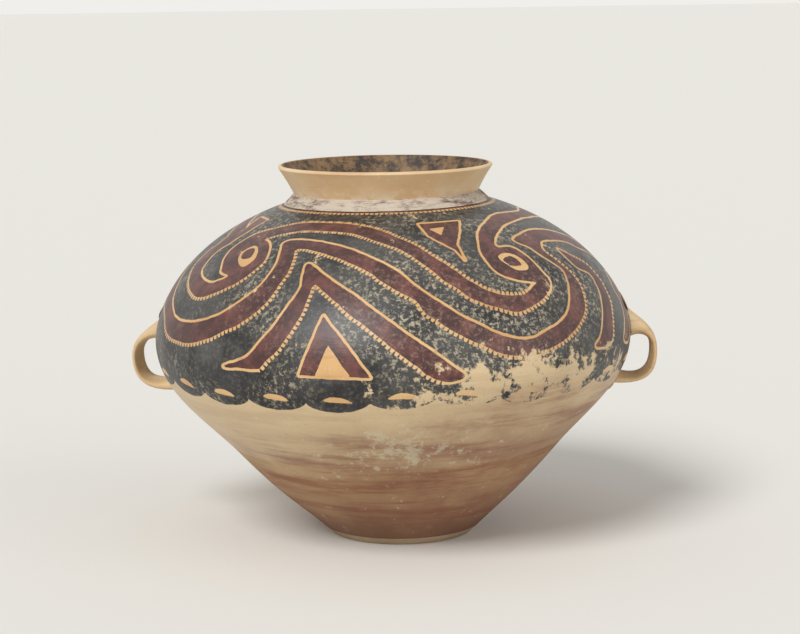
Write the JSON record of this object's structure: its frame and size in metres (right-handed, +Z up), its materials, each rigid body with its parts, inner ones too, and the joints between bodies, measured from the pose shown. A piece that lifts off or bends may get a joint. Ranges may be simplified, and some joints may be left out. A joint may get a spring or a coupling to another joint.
{
  "type": "painted funerary urn",
  "caption": "Squat hand-built painted earthenware funerary urn with a wide belly, a narrow flat base, a short flared neck and a strap handle on each side.",
  "frame": {"origin": "middle of the flat underside of the base, on the surface that the urn stands on", "axes": "+Z up to the mouth, +X from the left handle to the right handle, and the painted front faces -Y"},
  "size_m": [0.472, 0.4218, 0.33],
  "materials": {
    "bare_clay": "bare fired earthenware, smoothed by hand, matt",
    "foot_clay": "bare fired earthenware, rubbed and stained, matt",
    "painted_clay": "burnished earthenware painted black and maroon with reserved buff lines, worn, dull sheen",
    "joint_band": "painted maroon, scraped grey-white, matt",
    "neck_clay": "bare fired earthenware, burnished, dull sheen",
    "handle_clay": "bare fired earthenware, finger-smoothed, matt",
    "luting_clay": "bare fired clay slurry, smeared by finger, matt"
  },
  "bodies": {
    "root": {"base_disc": "foot_clay", "lower_course_1": "bare_clay", "lower_course_2": "bare_clay", "lower_course_3": "bare_clay", "belly_course": "painted_clay", "shoulder_course_1": "painted_clay", "shoulder_course_2": "painted_clay", "shoulder_course_3": "painted_clay", "neck_joint_band": "joint_band", "neck_collar": "neck_clay", "handle_left": "handle_clay", "handle_left_upper_pad": "luting_clay", "handle_left_lower_pad": "luting_clay", "handle_right": "handle_clay", "handle_right_upper_pad": "luting_clay", "handle_right_lower_pad": "luting_clay"}
  },
  "joints": []
}
